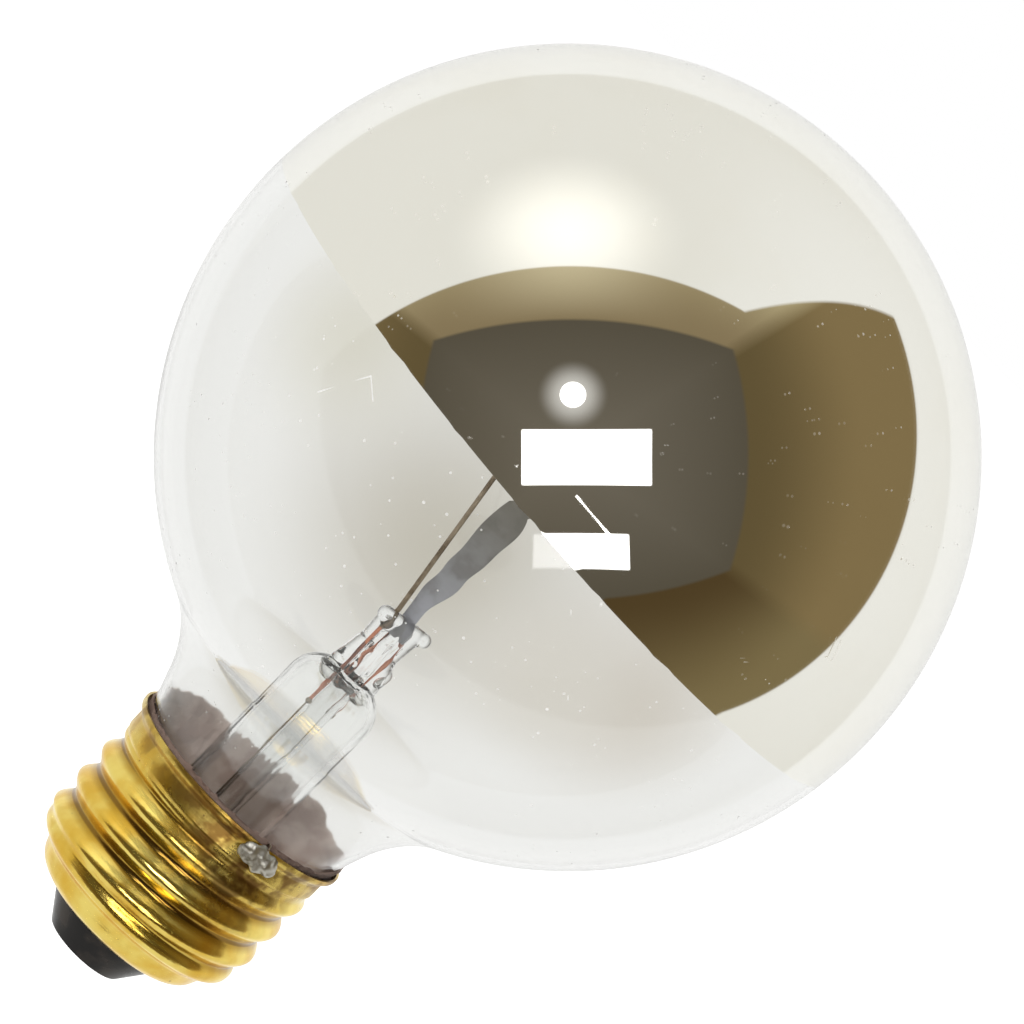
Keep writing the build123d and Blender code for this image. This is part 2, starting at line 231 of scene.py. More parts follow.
def build_world():
    """What shiny pieces reflect, what shows through the glass, and the white behind the bulb."""
    world = bpy.data.worlds.new("studio")
    world.use_nodes = True
    bpy.context.scene.world = world
    t = Tree(world.node_tree)
    way = t.add("ShaderNodeTexCoord").outputs["Generated"]
    right = t.vector("DOT_PRODUCT", way, tuple(studio_right))
    up = t.vector("DOT_PRODUCT", way, tuple(studio_up))
    back = t.vector("DOT_PRODUCT", way, tuple(studio_back))

    def over(first, second, soft=0.008):
        """1 where the first value is above the second."""
        return t.span(t.math("SUBTRACT", first, second), -soft, soft)

    def towards(shares):
        return tuple(shares[0] * studio_right + shares[1] * studio_up + shares[2] * studio_back)

    # pale sweep, bright close behind the bulb, with a glow over the canopy
    colour = t.mix(t.span(back, *sweep_fold), sweep_bright, sweep_pale)
    side_lift = t.span(right, 0.3, 0.95, smooth=True)
    colour = t.mix(t.math("MULTIPLY", side_lift, 0.5), colour, sweep_bright)
    glow = t.vector("DISTANCE", way, towards(glow_way))
    colour = t.mix(t.span(glow, 0.5, 0.0, smooth=True), colour, sweep_glow)

    # darker side: a flat panel straight back, and the canopy, side and foot that frame it
    high = t.math("DIVIDE", up, panel_top)
    low = t.math("DIVIDE", up, -panel_foot)
    aside = t.math(
        "MAXIMUM", t.math("DIVIDE", right, panel_right), t.math("DIVIDE", right, -panel_left))
    frame_share = t.math("MAXIMUM", t.math("MAXIMUM", high, low), aside)
    distance = t.math("ARCTAN2", frame_share, back)
    outer = t.span(distance, math.pi / 4, math.pi / 2, smooth=True)
    canopy = t.mix(outer, canopy_low, canopy_high)
    lift = t.span(t.math("ABSOLUTE", right), 0.55, 0.0, smooth=True)
    top_share = t.span(distance, math.pi / 4, math.pi / 3)
    canopy = t.mix(t.math("MULTIPLY", lift, top_share), canopy, canopy_lift)
    side = t.mix(outer, side_near, side_far)
    foot = t.mix(outer, foot_near, foot_far)
    dark = t.mix(over(aside, high, 0.06), canopy, side)
    dark = t.mix(over(low, t.math("MAXIMUM", high, aside), 0.05), dark, foot)
    panel = t.mix(t.span(distance, 0.0, math.pi / 4), panel_near, panel_far)
    dark = t.mix(over(back, frame_share, 0.012), dark, panel)

    # where the sweep covers it, above and below
    edge_left = t.math("MULTIPLY", back, 1.3)
    edge_right = t.math("ADD", t.math("MULTIPLY", right, 0.6), t.math("MULTIPLY", back, 0.35))
    under = over(t.math("MAXIMUM", edge_left, edge_right), up)
    behind = t.math("ADD", t.math("MULTIPLY", right, 0.37), t.math("MULTIPLY", up, 0.24))
    front = over(t.math("ADD", back, behind), 0.0)
    colour = t.mix(t.math("MULTIPLY", under, front), colour, dark)

    def soft_box(centre, half):
        x = over(half[0], t.math("ABSOLUTE", t.math("SUBTRACT", right, centre[0])), 0.006)
        y = over(half[1], t.math("ABSOLUTE", t.math("SUBTRACT", up, centre[1])), 0.006)
        return t.math("MULTIPLY", t.math("MULTIPLY", x, y), t.math("GREATER_THAN", back, 0.0))

    boxes = t.math("ADD", *[soft_box(centre, half) for centre, half in soft_boxes])
    light = t.math("MULTIPLY", boxes, box_light)
    lamp = t.vector("DISTANCE", way, towards(lamp_way))
    light = t.math("ADD", light, t.span(lamp, 0.062, 0.04, 0.0, lamp_light))
    light = t.math("ADD", light, t.span(lamp, 0.17, 0.04, 0.0, lamp_halo, smooth=True))
    colour = t.mix(1.0, colour, light, "ADD")
    reflected = t.add("ShaderNodeBackground", {"Color": colour}).outputs[0]

    # seen through glass: the sweep, a little shaded behind the bulb
    through_colour = seen_through_glass
    for px, reach, tone in shades:
        aside_of_it = t.vector("DISTANCE", way, tuple(seen_at(px)))
        shade = t.span(aside_of_it, reach / focal_px, 0.0, smooth=True)
        through_colour = t.mix(shade, through_colour, tone)
    # the stem's thick glass bends the sight far aside, to where the studio is dark
    path = t.add("ShaderNodeLightPath")
    bent = t.span(t.math("ABSOLUTE", back), 0.93, 0.6)
    thick = t.math("GREATER_THAN", path.outputs["Transmission Depth"], stem_crossings)
    straight = t.math("LESS_THAN", path.outputs["Glossy Depth"], 0.5)
    dimmed = t.math("MULTIPLY", bent, t.math("MULTIPLY", thick, straight))
    through_colour = t.mix(dimmed, through_colour, seen_through_stem)
    through = t.add("ShaderNodeBackground", {"Color": through_colour}).outputs[0]
    plain = t.add("ShaderNodeBackground", {"Color": between_walls}).outputs[0]
    white = t.add("ShaderNodeBackground", {"Color": (1, 1, 1)}).outputs[0]

    def choose(factor, no, yes):
        """One of two backgrounds, by a factor of 0 or 1."""
        node = t.add("ShaderNodeMixShader")
        for socket, value in zip(node.inputs, (factor, no, yes)):
            t.feed(socket, value)
        return node.outputs[0]

    # what the far wall sends back through the near one is only a plain tone
    near = t.math("LESS_THAN", path.outputs["Transmission Depth"], far_wall_crossings)
    mirrored = t.math("MULTIPLY", t.math("MINIMUM", path.outputs["Glossy Depth"], 1.0), near)
    shader = choose(path.outputs["Is Transmission Ray"], plain, through)
    shader = choose(mirrored, shader, reflected)
    shader = choose(path.outputs["Is Camera Ray"], shader, white)
    t.add("ShaderNodeOutputWorld", {"Surface": shader})
    world.cycles.sampling_method = "NONE"


def add_lamp(name, way, distance, size, power):
    """A soft lamp that shines on the bulb, not seen in its mirror."""
    data = bpy.data.lights.new(name, "AREA")
    data.shape = "DISK"
    data.size = size
    data.energy = power
    lamp = bpy.data.objects.new(name, data)
    bpy.context.scene.collection.objects.link(lamp)
    lamp.location = globe_centre + way.normalized() * distance
    lamp.rotation_mode = "QUATERNION"
    lamp.rotation_quaternion = way.to_track_quat("Z", "Y")
    lamp.visible_glossy = False
    lamp.visible_transmission = False
    lamp.visible_camera = False


floor_radius = 6.0
floor_z = -22 * mm


def add_floor():
    """A pale floor, just clear of the bulb, that takes its shadow and isn't seen in glass or metal."""
    bpy.ops.object.select_all(action="DESELECT")
    bpy.ops.mesh.primitive_circle_add(
        vertices=96, radius=floor_radius, fill_type="NGON", location=(0, 0, floor_z))
    floor = bpy.context.object
    floor.name = "studio_floor"
    material = bpy.data.materials.new("pale_floor")
    material.use_nodes = True
    t = Tree(material.node_tree)
    cloth = t.add("ShaderNodeBsdfDiffuse", {"Color": (0.92, 0.92, 0.91)}).outputs[0]
    lift = t.add("ShaderNodeEmission", {"Color": (1, 1, 1), "Strength": 0.35}).outputs[0]
    both = t.add("ShaderNodeAddShader")
    t.feed(both.inputs[0], cloth)
    t.feed(both.inputs[1], lift)
    t.add("ShaderNodeOutputMaterial", {"Surface": both.outputs[0]})
    floor.data.materials.append(material)
    floor.visible_glossy = False
    floor.visible_transmission = False
    floor.visible_diffuse = False


# Finishes. Each reads Object coordinates, in metres.


def effect(name, inputs, outputs):
    """A node group for an effect that several finishes share, from its inputs' usual values."""
    group = bpy.data.node_groups.new(name, "ShaderNodeTree")
    for label, value in inputs.items():
        kind = "NodeSocketVector" if hasattr(value, "__len__") else "NodeSocketFloat"
        group.interface.new_socket(name=label, in_out="INPUT", socket_type=kind).default_value = value
    for label in outputs:
        group.interface.new_socket(name=label, in_out="OUTPUT", socket_type="NodeSocketFloat")
    t = Tree(group)
    return group, t, t.add("NodeGroupInput").outputs


def make_clouds():
    """Soft, uneven patches, for smudges, tarnish and the mottling of a cast surface."""
    group, t, given = effect(
        "clouds", {"Vector": (0, 0, 0), "Scale": 50.0, "Low": 0.4, "High": 0.6}, ["Mask"])
    fine = t.noise(given["Vector"], given["Scale"], 3.0, 0.55)
    t.add("NodeGroupOutput", {"Mask": t.span(fine, given["Low"], given["High"], smooth=True)})
    return group


def make_specks():
    """Small round dots: one in some of the cells of a grid that the scale sets."""
    group, t, given = effect(
        "specks", {"Vector": (0, 0, 0), "Scale": 300.0, "Size": 0.08, "Amount": 0.2}, ["Mask"])
    cells = t.add("ShaderNodeTexVoronoi", {"Vector": given["Vector"], "Scale": given["Scale"]})
    chance = t.vector("DOT_PRODUCT", cells.outputs["Color"], (1.0, 0.0, 0.0))
    size = t.math("MULTIPLY", given["Size"], t.math("ADD", chance, 0.4))
    dot = t.span(cells.outputs["Distance"], size, t.math("MULTIPLY", size, 0.6))
    picked = t.math("LESS_THAN", chance, given["Amount"])
    t.add("NodeGroupOutput", {"Mask": t.math("MULTIPLY", dot, picked)})
    return group


def make_hairlines():
    """Short fine scratches that lie along one direction."""
    group, t, given = effect(
        "hairlines",
        {"Vector": (0, 0, 0), "Turn": (0, 0, 0), "Scale": 120.0, "Amount": 0.2}, ["Mask"])
    turned = t.add("ShaderNodeMapping", {
        "Vector": given["Vector"], "Rotation": given["Turn"], "Scale": (1.0, 0.06, 1.0)}).outputs[0]
    cells = t.add("ShaderNodeTexVoronoi", {"Vector": turned, "Scale": given["Scale"]})
    chance = t.vector("DOT_PRODUCT", cells.outputs["Color"], (0.0, 1.0, 0.0))
    line = t.span(cells.outputs["Distance"], 0.035, 0.015)
    picked = t.math("LESS_THAN", chance, given["Amount"])
    t.add("NodeGroupOutput", {"Mask": t.math("MULTIPLY", line, picked)})
    return group


def make_scratch():
    """One straight scratch from start to end, thinning out at both ends."""
    group, t, given = effect(
        "scratch",
        {"Vector": (0, 0, 0), "Start": (0, 0, 0), "End": (1, 0, 0), "Width": 0.0001}, ["Mask"])
    along = t.vector("SUBTRACT", given["End"], given["Start"])
    reach = t.vector("SUBTRACT", given["Vector"], given["Start"])
    passed = t.vector("DOT_PRODUCT", reach, along)
    share = t.math("DIVIDE", passed, t.vector("DOT_PRODUCT", along, along), clamp=True)
    foot = t.add("ShaderNodeVectorMath", operation="SCALE")
    t.feed(foot.inputs[0], along)
    t.feed(foot.inputs["Scale"], share)
    off = t.vector("DISTANCE", reach, foot.outputs[0])
    core = t.math("MULTIPLY", given["Width"], 0.4)
    t.add("NodeGroupOutput", {"Mask": t.span(off, given["Width"], core)})
    return group


effects = {
    "clouds": make_clouds(),
    "specks": make_specks(),
    "hairlines": make_hairlines(),
    "scratch": make_scratch(),
}


def use(t, name, values):
    """The mask of a shared effect, with this finish's own values."""
    node = t.add("ShaderNodeGroup", node_tree=effects[name])
    for key, value in values.items():
        t.feed(node.inputs[key], value)
    return node.outputs["Mask"]


def finish(name):
    """A new material, its node tree and the place on the piece that its patterns read."""
    material = bpy.data.materials.new(name)
    material.use_nodes = True
    t = Tree(material.node_tree)
    return material, t, t.add("ShaderNodeTexCoord").outputs["Object"]


def close(t, surface, lets_lamps_through=False):
    """Puts a shader out, if wanted with a way through for rays from the lamps."""
    if lets_lamps_through:
        clear = t.add("ShaderNodeBsdfTransparent").outputs[0]
        mixed = t.add("ShaderNodeMixShader")
        path = t.add("ShaderNodeLightPath").outputs["Is Shadow Ray"]
        for socket, value in zip(mixed.inputs, (path, surface, clear)):
            t.feed(socket, value)
        surface = mixed.outputs[0]
    t.add("ShaderNodeOutputMaterial", {"Surface": surface})


def bump(t, height, strength, depth):
    """The normal of a surface whose relief is a height and a depth in metres."""
    node = t.add("ShaderNodeBump", {"Height": height, "Strength": strength, "Distance": depth})
    return node.outputs[0]


def on_globe(px):
    """The point of the globe's near side that the photograph shows at a pixel."""
    ray = seen_at(px)
    start = -from_camera(globe_seen) * camera_distance
    middle = -start.dot(ray)
    away = (start + ray * middle).length
    return globe_centre + start + ray * (middle - math.sqrt(max(0.0, globe_radius ** 2 - away ** 2)))


# Scratches that the photograph shows on the globe, which glow with a painted highlight: start and end in its
# pixels, width in mm
globe_scratches = [
    ((577, 497), (611, 537), 0.16), ((318, 392), (371, 376), 0.10), ((371, 376), (373, 401), 0.08),
    ((571, 610), (568, 700), 0.07), ((744, 662), (832, 660), 0.07), ((832, 660), (841, 640), 0.07)]
neck_haze = 0.08
haze_low, haze_high = rim_z + 4 * mm, rim_z + 16 * mm
glass_tint = (0.985, 0.99, 0.985)
# the pale glow painted on the dust and scratches: a painted highlight
dust_and_scratch_glow = (0.16, 0.155, 0.145)


def clear_glass():
    """Clean blown glass with fine scratches and a little dust, which show as dull spots, made pale by a
    painted glow.
    """
    material, t, place = finish("clear_glass")
    dusty = use(t, "clouds", {"Vector": place, "Scale": 70.0, "Low": 0.44, "High": 0.6})
    grit = use(t, "specks", {"Vector": place, "Scale": 900.0, "Size": 0.24, "Amount": 0.3})
    flakes = use(t, "specks", {"Vector": place, "Scale": 300.0, "Size": 0.12, "Amount": 0.2})
    worn = t.math("MULTIPLY", dusty, t.math("MAXIMUM", grit, flakes))
    hair = use(t, "hairlines", {"Vector": place, "Turn": (0.3, 0.9, 0.2), "Scale": 160.0, "Amount": 0.4})
    worn = t.math("MAXIMUM", worn, t.math("MULTIPLY", hair, 0.7))
    for start, end, width in globe_scratches:
        line = use(t, "scratch", {
            "Vector": place, "Start": tuple(on_globe(start)), "End": tuple(on_globe(end)),
            "Width": width * mm})
        worn = t.math("MAXIMUM", worn, line)
    # fumes of the burner leave a faint haze in the neck
    haze = t.span(t.along("Z", place), haze_high, haze_low, 0.0, neck_haze, smooth=True)
    dull = t.math("MAXIMUM", t.math("MULTIPLY", worn, 0.6), haze)
    ripple = bump(t, t.noise(place, 45.0, 1.0), 0.03, 1 * mm)
    # the dust and scratches glow with a painted highlight through Emission, unlit by any lamp
    body = t.add("ShaderNodeBsdfPrincipled", {
        "Base Color": glass_tint, "Roughness": dull, "IOR": 1.33, "Transmission Weight": 1.0,
        "Normal": ripple, "Emission Color": t.mix(worn, (0.0, 0.0, 0.0), dust_and_scratch_glow),
        "Emission Strength": 1.0})
    close(t, body.outputs[0], lets_lamps_through=True)
    material.cycles.emission_sampling = "NONE"
    return material


def stem_glass():
    """Lead glass drawn and pinched by hand: streaky, with a slow ripple."""
    material, t, place = finish("stem_glass")
    streaks = t.add("ShaderNodeMapping", {"Vector": place, "Scale": (1.0, 1.0, 0.25)}).outputs[0]
    worn = use(t, "specks", {"Vector": place, "Scale": 700.0, "Size": 0.06, "Amount": 0.1})
    # the pinched press is rougher than the drawn tube
    pinched = t.span(t.along("Z", place), dome_z - 1 * mm, dome_z + 1 * mm, 1.0, 3.0)
    ripple = bump(t, t.math("MULTIPLY", t.noise(streaks, 420.0, 2.0), pinched), 0.12, 1 * mm)
    body = t.add("ShaderNodeBsdfPrincipled", {
        "Base Color": (0.975, 0.98, 0.975), "Roughness": t.math("MULTIPLY", worn, 0.4), "IOR": 1.54,
        "Transmission Weight": 1.0, "Normal": ripple})
    close(t, body.outputs[0], lets_lamps_through=True)
    return material


def mirror_silver():
    """Vapour silver: a warm, clean mirror with a few pinholes and a faint cloudiness."""
    material, t, place = finish("mirror_silver")
    cloud = use(t, "clouds", {"Vector": place, "Scale": 60.0, "Low": 0.45, "High": 0.75})
    holes = use(t, "specks", {"Vector": place, "Scale": 75.0, "Size": 0.022, "Amount": 0.45})
    colour = t.mix(cloud, (0.90, 0.89, 0.85), (0.885, 0.87, 0.82))
    colour = t.mix(holes, colour, (0.12, 0.10, 0.07))
    body = t.add("ShaderNodeBsdfPrincipled", {
        "Base Color": colour, "Roughness": t.math("MULTIPLY", cloud, 0.012), "Metallic": 1.0})
    close(t, body.outputs[0])
    return material


rim_solder_low, rim_solder_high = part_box("rim_solder")
solder_place = (rim_solder_low + rim_solder_high) / 2
thread_middle = 12.5 * mm
skirt_low, skirt_high = rim_z - 5.0 * mm, rim_z - 1.2 * mm
brass_bright = (0.93, 0.74, 0.20)
brass_dull = (0.79, 0.50, 0.065)
# painted shade for the thread's grooves and, darker, for their bottoms
groove_painted_shade = (0.38, 0.21, 0.02)
groove_bottom_painted_shade = (0.16, 0.08, 0.02)
skirt_stain = (0.24, 0.125, 0.03)
flux_burn = (0.12, 0.055, 0.015)
spot_dirt = (0.13, 0.07, 0.03)


def shell_brass():
    """Rolled brass: bright crests, painted shade in the grooves, rolling marks, and flux stains by the
    solder.
    """
    material, t, place = finish("shell_brass")
    radius = t.from_axis(place)
    height = t.along("Z", place)
    cloud = use(t, "clouds", {"Vector": place, "Scale": 170.0, "Low": 0.38, "High": 0.68})
    blotch = use(t, "clouds", {"Vector": place, "Scale": 420.0, "Low": 0.42, "High": 0.62})
    broad = use(t, "clouds", {"Vector": place, "Scale": 110.0, "Low": 0.3, "High": 0.6})
    # painted shade in the grooves of the thread, and darker painted shade along their bottoms
    groove_shade = t.span(radius, thread_middle + 0.1 * mm, thread_middle - 0.55 * mm, smooth=True)
    groove_shade = t.math("MULTIPLY", groove_shade, t.span(height, thread_low - 0.6 * mm, thread_low + 0.8 * mm))
    groove_bottom_shade = t.span(radius, thread_middle - 0.42 * mm, thread_middle - 0.49 * mm, smooth=True)
    groove_bottom_shade = t.math("MULTIPLY", groove_bottom_shade, t.span(height, thread_low + 0.2 * mm, thread_low + 0.8 * mm))
    # stains over the skirt and round the solder
    skirt = t.span(height, skirt_low, skirt_high, smooth=True)
    from_solder = t.vector("DISTANCE", place, tuple(solder_place))
    flux = t.span(from_solder, 12 * mm, 1.5 * mm, smooth=True)
    reach = t.math("MULTIPLY", skirt, t.span(broad, 0.0, 1.0, 0.5, 1.0))
    reach = t.math("ADD", reach, flux, clamp=True)
    stain = t.math("MULTIPLY", reach, t.span(blotch, 0.0, 1.0, 0.5, 1.0))
    spots = use(t, "specks", {"Vector": place, "Scale": 480.0, "Size": 0.16, "Amount": 0.16})
    spots = t.math("MAXIMUM", spots, use(t, "specks", {
        "Vector": place, "Scale": 1100.0, "Size": 0.25, "Amount": t.span(skirt, 0.0, 1.0, 0.06, 0.3)}))
    colour = t.mix(cloud, brass_bright, brass_dull)
    colour = t.mix(t.math("MULTIPLY", groove_shade, 0.8), colour, groove_painted_shade)
    colour = t.mix(t.math("MULTIPLY", groove_bottom_shade, 0.7), colour, groove_bottom_painted_shade)
    colour = t.mix(t.math("MULTIPLY", stain, 0.85), colour, skirt_stain)
    colour = t.mix(t.math("MULTIPLY", t.math("MULTIPLY", flux, blotch), 0.8), colour, flux_burn)
    colour = t.mix(t.math("MULTIPLY", spots, 0.7), colour, spot_dirt)
    dull = t.math("ADD", t.math("MULTIPLY", cloud, 0.08), t.math("MULTIPLY", stain, 0.22))
    rings = t.vector("MULTIPLY", place, (0.12, 0.12, 1.0))
    marks = t.noise(rings, 3800.0, 2.0)
    relief = t.math("ADD", t.math("MULTIPLY", marks, 0.5), t.math("MULTIPLY", cloud, 0.6))
    relief = t.math("ADD", relief, t.noise(place, 330.0, 1.0))
    body = t.add("ShaderNodeBsdfPrincipled", {
        "Base Color": colour, "Roughness": t.math("ADD", dull, 0.15), "Metallic": 1.0,
        "Normal": bump(t, relief, 0.35, 0.08 * mm)})
    close(t, body.outputs[0])
    return material


def wire_metal(name, colour, dull, roughness, grain=(1.0, 1.0, 0.15)):
    """Drawn wire or strip: fine lines along its length and patches of tarnish."""
    material, t, place = finish(name)
    drawn = t.add("ShaderNodeMapping", {"Vector": place, "Scale": grain}).outputs[0]
    lines = t.noise(drawn, 5200.0, 2.0)
    cloud = use(t, "clouds", {"Vector": place, "Scale": 380.0, "Low": 0.4, "High": 0.62})
    body = t.add("ShaderNodeBsdfPrincipled", {
        "Base Color": t.mix(cloud, colour, dull), "Metallic": 1.0,
        "Roughness": t.math("ADD", t.math("MULTIPLY", lines, 0.2), roughness),
        "Normal": bump(t, lines, 0.3, 0.03 * mm)})
    close(t, body.outputs[0])
    return material


strip_foot_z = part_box("inner_lead_strip")[0].z
strip_painted_reflection_low = (0.50, 0.51, 0.56)
strip_painted_reflection_high = (0.27, 0.255, 0.22)
strip_tarnish = (0.20, 0.19, 0.17)


def strip_metal():
    """Grey rolled strip with lines across its width, and a painted reflection: bluish by the stem and
    browner by the mirror.
    """
    material, t, place = finish("strip_metal")
    # painted reflection: bluish low by the stem, browner and darker up by the mirror
    up = t.span(t.along("Z", place), strip_foot_z, strip_foot_z + 20 * mm, smooth=True)
    drawn = t.add("ShaderNodeMapping", {"Vector": place, "Scale": (0.3, 1.0, 1.0)}).outputs[0]
    lines = t.noise(drawn, 2600.0, 3.0)
    cloud = use(t, "clouds", {"Vector": place, "Scale": 300.0, "Low": 0.4, "High": 0.62})
    colour = t.mix(up, strip_painted_reflection_low, strip_painted_reflection_high)
    colour = t.mix(t.math("MULTIPLY", cloud, 0.5), colour, strip_tarnish)
    body = t.add("ShaderNodeBsdfPrincipled", {
        "Base Color": colour, "Metallic": 0.7,
        "Roughness": t.math("ADD", t.math("MULTIPLY", lines, 0.25), 0.35),
        "Normal": bump(t, lines, 0.35, 0.04 * mm)})
    close(t, body.outputs[0])
    return material


cement_pale = (0.72, 0.60, 0.52)
cement_dark = (0.44, 0.33, 0.28)
cement_crumb = (0.88, 0.78, 0.70)
cement_by_rim = (0.22, 0.15, 0.13)
cement_dark_outside = (0.09, 0.055, 0.04)


def basing_cement():
    """Baked resin and marble flour: mauve brown, grainy and uneven."""
    material, t, place = finish("cement")
    height = t.along("Z", place)
    depth = t.along("Y", place)
    patch = use(t, "clouds", {"Vector": place, "Scale": 260.0, "Low": 0.38, "High": 0.62})
    grain = t.noise(place, 2600.0, 5.0, 0.7)
    crumbs = use(t, "specks", {"Vector": place, "Scale": 1100.0, "Size": 0.3, "Amount": 0.3})
    colour = t.mix(patch, cement_pale, cement_dark)
    colour = t.mix(t.math("MULTIPLY", crumbs, 0.5), colour, cement_crumb)
    # darker towards the rim, over its lowest 4.5 mm
    towards_rim = t.span(height, rim_z + 4.5 * mm, rim_z, 0.0, 0.55, smooth=True)
    colour = t.mix(towards_rim, colour, cement_by_rim)
    # darker where it shows outside the glass: the skin in front, and painted shade in the gap under the lip
    outside = t.span(t.from_axis(place), neck_radius_at_rim - 0.1 * mm, neck_radius_at_rim + 0.05 * mm)
    # painted shade in the gap under the lip
    gap_shade = t.span(height, rim_z + 0.4 * mm, rim_z + 0.05 * mm)
    gap_shade = t.math("MULTIPLY", gap_shade, t.span(depth, 7 * mm, 2 * mm))
    in_front = t.span(depth, 3 * mm, -2 * mm)
    outside = t.math("MULTIPLY", outside, t.math("MAXIMUM", gap_shade, in_front))
    colour = t.mix(t.math("MULTIPLY", outside, 0.85), colour, cement_dark_outside)
    relief = t.math("ADD", grain, t.math("MULTIPLY", patch, 0.8))
    body = t.add("ShaderNodeBsdfPrincipled", {
        "Base Color": colour, "Roughness": t.span(grain, 0.3, 0.7, 0.75, 0.95),
        "Normal": bump(t, relief, 0.8, 0.25 * mm)})
    close(t, body.outputs[0])
    return material


def black_glass():
    """Pressed black glass: glossy, faintly brown, with a mould's soft ripple and a little grime."""
    material, t, place = finish("black_glass")
    grime = use(t, "clouds", {"Vector": place, "Scale": 330.0, "Low": 0.45, "High": 0.7})
    dots = use(t, "specks", {"Vector": place, "Scale": 600.0, "Size": 0.12, "Amount": 0.15})
    colour = t.mix(grime, (0.010, 0.009, 0.009), (0.030, 0.024, 0.020))
    colour = t.mix(t.math("MULTIPLY", dots, 0.5), colour, (0.10, 0.08, 0.06))
    body = t.add("ShaderNodeBsdfPrincipled", {
        "Base Color": colour, "Roughness": t.span(grime, 0.0, 1.0, 0.16, 0.34), "IOR": 1.5,
        "Specular IOR Level": 0.12,
        "Normal": bump(t, t.noise(place, 260.0, 2.0), 0.15, 0.3 * mm)})
    close(t, body.outputs[0])
    return material


def solder():
    """Tin solder: grey, wrinkled as it froze, with brown flux in patches."""
    material, t, place = finish("solder")
    wrinkle = t.noise(place, 600.0, 2.0, 0.5)
    flux = use(t, "clouds", {"Vector": place, "Scale": 700.0, "Low": 0.45, "High": 0.7})
    colour = t.mix(flux, (0.52, 0.51, 0.47), (0.20, 0.175, 0.13))
    body = t.add("ShaderNodeBsdfPrincipled", {
        "Base Color": colour, "Metallic": 1.0, "Roughness": t.span(flux, 0.0, 1.0, 0.38, 0.65),
        "Normal": bump(t, wrinkle, 0.35, 0.3 * mm)})
    close(t, body.outputs[0])
    return material


finishes = {
    "clear_glass": clear_glass(),
    "mirror_silver": mirror_silver(),
    "stem_glass": stem_glass(),
    "copper_wire": wire_metal("copper_wire", (0.60, 0.25, 0.15), (0.40, 0.14, 0.085), 0.22),
    "lead_wire": wire_metal("lead_wire", (0.32, 0.26, 0.19), (0.17, 0.13, 0.09), 0.22),
    "strip_metal": strip_metal(),
    "tungsten": wire_metal("tungsten", (0.30, 0.30, 0.31), (0.18, 0.18, 0.19), 0.3, (1.0, 1.0, 1.0)),
    "cement": basing_cement(),
    "shell_brass": shell_brass(),
    "black_glass": black_glass(),
    "solder": solder(),
}

slots_of = {
    "glass_envelope": "clear_glass", "mirror_coat": "mirror_silver", "glass_stem": "stem_glass",
    "exhaust_tube": "stem_glass", "dumet_side": "copper_wire", "dumet_centre": "copper_wire",
    "inner_lead_wire": "lead_wire", "inner_lead_strip": "strip_metal", "outer_lead_side": "lead_wire",
    "outer_lead_centre": "lead_wire", "filament": "tungsten", "basing_cement": "cement",
    "screw_shell": "shell_brass", "base_insulator": "black_glass", "contact_eyelet": "shell_brass",
    "contact_solder": "solder", "rim_solder": "solder",
}


# Pieces


def start_mesh(name):
    """Names the primitive that was just added and puts its place into its mesh."""
    piece = bpy.context.object
    piece.name = name
    bpy.ops.object.transform_apply(location=True, rotation=True, scale=True)
    return piece


def arc(centre, radius, start, end, steps):
    """Points of an outline, each a distance from the axis and a height, along an arc."""
    angles = [start + (end - start) * step / steps for step in range(steps + 1)]
    return [
        (centre[0] + radius * math.cos(angle), centre[1] + radius * math.sin(angle)) for angle in angles]


def draw_edge(line):
    """Draws the selected open edge from ring to ring. A ring is its radius and its height."""
    for (old_radius, old_z), (radius, z) in zip(line, line[1:]):
        bpy.ops.mesh.extrude_edges_move(TRANSFORM_OT_translate={"value": (0, 0, z - old_z)})
        share = radius / old_radius
        bpy.ops.transform.resize(value=(share, share, 1), center_override=(0, 0, z))


def thicken(piece, thickness, offset=-1, even=False):
    """Gives a skin its wall, inwards at offset -1 and outwards at 1."""
    wall = piece.modifiers.new("wall", "SOLIDIFY")
    wall.thickness = thickness
    wall.offset = offset
    wall.use_even_offset = even
    bpy.ops.object.modifier_apply(modifier=wall.name)


def neck_line():
    """The outside of the neck, from the ball to the neck's lowest edge."""
    slope = math.tan(neck_half_angle)
    # the blend's centre is one blend radius outside the cone and outside the ball:
    # x = cone_at + slope * z, with z from the globe's centre, and x^2 + z^2 = reach^2
    reach = globe_radius + neck_blend_radius
    cone_at = neck_radius_at_rim + (globe_centre.z - rim_z) * slope
    cone_at += neck_blend_radius / math.cos(neck_half_angle)
    a = 1 + slope ** 2
    b = 2 * cone_at * slope
    c = cone_at ** 2 - reach ** 2
    blend_z = (-b - math.sqrt(b * b - 4 * a * c)) / (2 * a)
    blend_x = cone_at + slope * blend_z
    line = arc(
        (blend_x, globe_centre.z + blend_z), neck_blend_radius,
        math.atan2(-blend_z, -blend_x), math.pi - neck_half_angle, 24)
    # the cone turns upright where the neck is sealed to the stem
    bend_z = rim_z - (neck_radius_at_rim - seal_radius) / slope
    turn = seal_bend_radius * math.tan(neck_half_angle / 2)
    line += arc(
        (seal_radius + seal_bend_radius, bend_z - turn), seal_bend_radius,
        math.pi - neck_half_angle, math.pi, 8)
    return line + [(seal_radius, envelope_low.z)]


